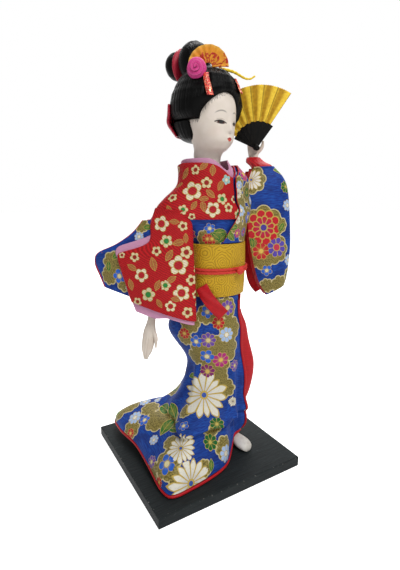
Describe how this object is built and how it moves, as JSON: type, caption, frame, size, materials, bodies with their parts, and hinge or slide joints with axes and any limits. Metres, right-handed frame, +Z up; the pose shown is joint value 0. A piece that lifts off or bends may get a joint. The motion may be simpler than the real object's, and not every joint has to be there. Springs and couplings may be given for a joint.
{
  "type": "geisha doll",
  "caption": "Standing display doll in layered kimono with a trailing skirt, hanging sleeves and an obi, holding an open folding fan, fixed on a square black board.",
  "frame": {"origin": "middle of the board's underside", "axes": "+Z up; the board's sides lie along X and Y; the doll faces mostly -Y, turned 14 degrees towards +X, with its right hand towards -X"},
  "size_m": [0.1401, 0.116, 0.3037],
  "materials": {
    "black_wood": "black painted wood, satin, chipped along the top edges",
    "steel": "bare wire and rod",
    "padding": "cotton and straw stuffing",
    "porcelain": "matte off-white face paint",
    "white_sock": "white cotton sock",
    "hair": "black silk strands with a soft sheen",
    "blue_brocade": "blue figured silk with flowers and gold clouds",
    "red_crepe": "red ribbed crepe with gold-edged blossoms",
    "red_satin": "plain red satin",
    "pink_silk": "plain pink silk",
    "gold_brocade": "mustard gold figured silk with swirl lines",
    "gold_paper": "gold foil paper, pleated",
    "black_lacquer": "black lacquered slats",
    "rose_satin": "magenta satin ribbon",
    "orange_card": "printed orange-gold card"
  },
  "bodies": {
    "doll": {"base_board": "black_wood", "post_screw": "steel", "support_post": "steel", "torso_form": "padding", "head_peg": "steel", "right_arm_wire": "steel", "left_arm_wire": "steel", "right_arm_wrap": "padding", "left_arm_wrap": "padding", "skirt": "blue_brocade", "under_panel": "red_satin", "hem_piping": "red_satin", "skirt_padding": "padding", "left_foot": "white_sock", "right_foot": "white_sock", "bodice": "blue_brocade", "red_robe": "red_crepe", "front_lapel": "blue_brocade", "pink_collar": "pink_silk", "obi": "gold_brocade", "obi_cord": "red_satin", "obi_knot": "red_satin", "obi_bow": "gold_brocade", "sash_end": "red_satin", "right_sleeve": "red_crepe", "right_sleeve_lining": "pink_silk", "right_inner_sleeve": "blue_brocade", "left_sleeve": "blue_brocade", "left_sleeve_lining": "red_satin", "left_cuff": "red_satin", "left_hand": "porcelain", "fan_stick_1": "black_lacquer", "fan_leaf_1": "gold_paper", "fan_rivet": "steel"},
    "head": {"head": "porcelain", "wig": "hair", "back_hair": "hair", "bun_front": "hair", "bun_ribbon": "red_satin", "bun_back": "hair", "nape_ribbon": "red_satin", "ornament_card": "orange_card", "ornament_rose": "rose_satin", "right_ribbon_tail": "red_satin", "left_ribbon_tail": "red_satin", "gold_hairpin": "gold_paper"},
    "right_hand": {"right_hand": "porcelain"},
    "fan_blade_2": {"fan_stick_2": "black_lacquer", "fan_leaf_2": "gold_paper"},
    "fan_blade_3": {"fan_stick_3": "black_lacquer", "fan_leaf_3": "gold_paper"},
    "fan_blade_4": {"fan_stick_4": "black_lacquer", "fan_leaf_4": "gold_paper"},
    "fan_blade_5": {"fan_stick_5": "black_lacquer", "fan_leaf_5": "gold_paper"},
    "fan_blade_6": {"fan_stick_6": "black_lacquer", "fan_leaf_6": "gold_paper"},
    "fan_blade_7": {"fan_stick_7": "black_lacquer", "fan_leaf_7": "gold_paper"},
    "fan_blade_8": {"fan_stick_8": "black_lacquer"}
  },
  "joints": [
    {"name": "head_turn", "type": "hinge", "parent": "doll", "child": "head", "pos_m": [0.01403, 0.00342, 0.224], "axis": [0, 0, 1], "range_deg": [-20, 20]},
    {"name": "right_hand_twist", "type": "hinge", "parent": "doll", "child": "right_hand", "pos_m": [-0.03094, 0.00479, 0.116], "axis": [-0.0805, 0.0484, -0.9956], "range_deg": [-25, 25]},
    {"name": "fan_fold", "type": "hinge", "parent": "doll", "child": "fan_blade_2", "pos_m": [0.05996, 0.00601, 0.2373], "axis": [-0.6561, -0.7547, 0], "range_deg": [-13, 0]},
    {"name": "fan_fold_3", "type": "hinge", "parent": "fan_blade_2", "child": "fan_blade_3", "pos_m": [0.05996, 0.00601, 0.2373], "axis": [-0.6561, -0.7547, 0], "range_deg": [-13, 0]},
    {"name": "fan_fold_4", "type": "hinge", "parent": "fan_blade_3", "child": "fan_blade_4", "pos_m": [0.05996, 0.00601, 0.2373], "axis": [-0.6561, -0.7547, 0], "range_deg": [-13, 0]},
    {"name": "fan_fold_5", "type": "hinge", "parent": "fan_blade_4", "child": "fan_blade_5", "pos_m": [0.05996, 0.00601, 0.2373], "axis": [-0.6561, -0.7547, 0], "range_deg": [-13, 0]},
    {"name": "fan_fold_6", "type": "hinge", "parent": "fan_blade_5", "child": "fan_blade_6", "pos_m": [0.05996, 0.00601, 0.2373], "axis": [-0.6561, -0.7547, 0], "range_deg": [-13, 0]},
    {"name": "fan_fold_7", "type": "hinge", "parent": "fan_blade_6", "child": "fan_blade_7", "pos_m": [0.05996, 0.00601, 0.2373], "axis": [-0.6561, -0.7547, 0], "range_deg": [-13, 0]},
    {"name": "fan_fold_8", "type": "hinge", "parent": "fan_blade_7", "child": "fan_blade_8", "pos_m": [0.05996, 0.00601, 0.2373], "axis": [-0.6561, -0.7547, 0], "range_deg": [-13, 0]}
  ],
  "couplings": [
    {"joint": "fan_fold_3", "follows": "fan_fold", "ratio": 1},
    {"joint": "fan_fold_4", "follows": "fan_fold", "ratio": 1},
    {"joint": "fan_fold_5", "follows": "fan_fold", "ratio": 1},
    {"joint": "fan_fold_6", "follows": "fan_fold", "ratio": 1},
    {"joint": "fan_fold_7", "follows": "fan_fold", "ratio": 1},
    {"joint": "fan_fold_8", "follows": "fan_fold", "ratio": 1}
  ]
}
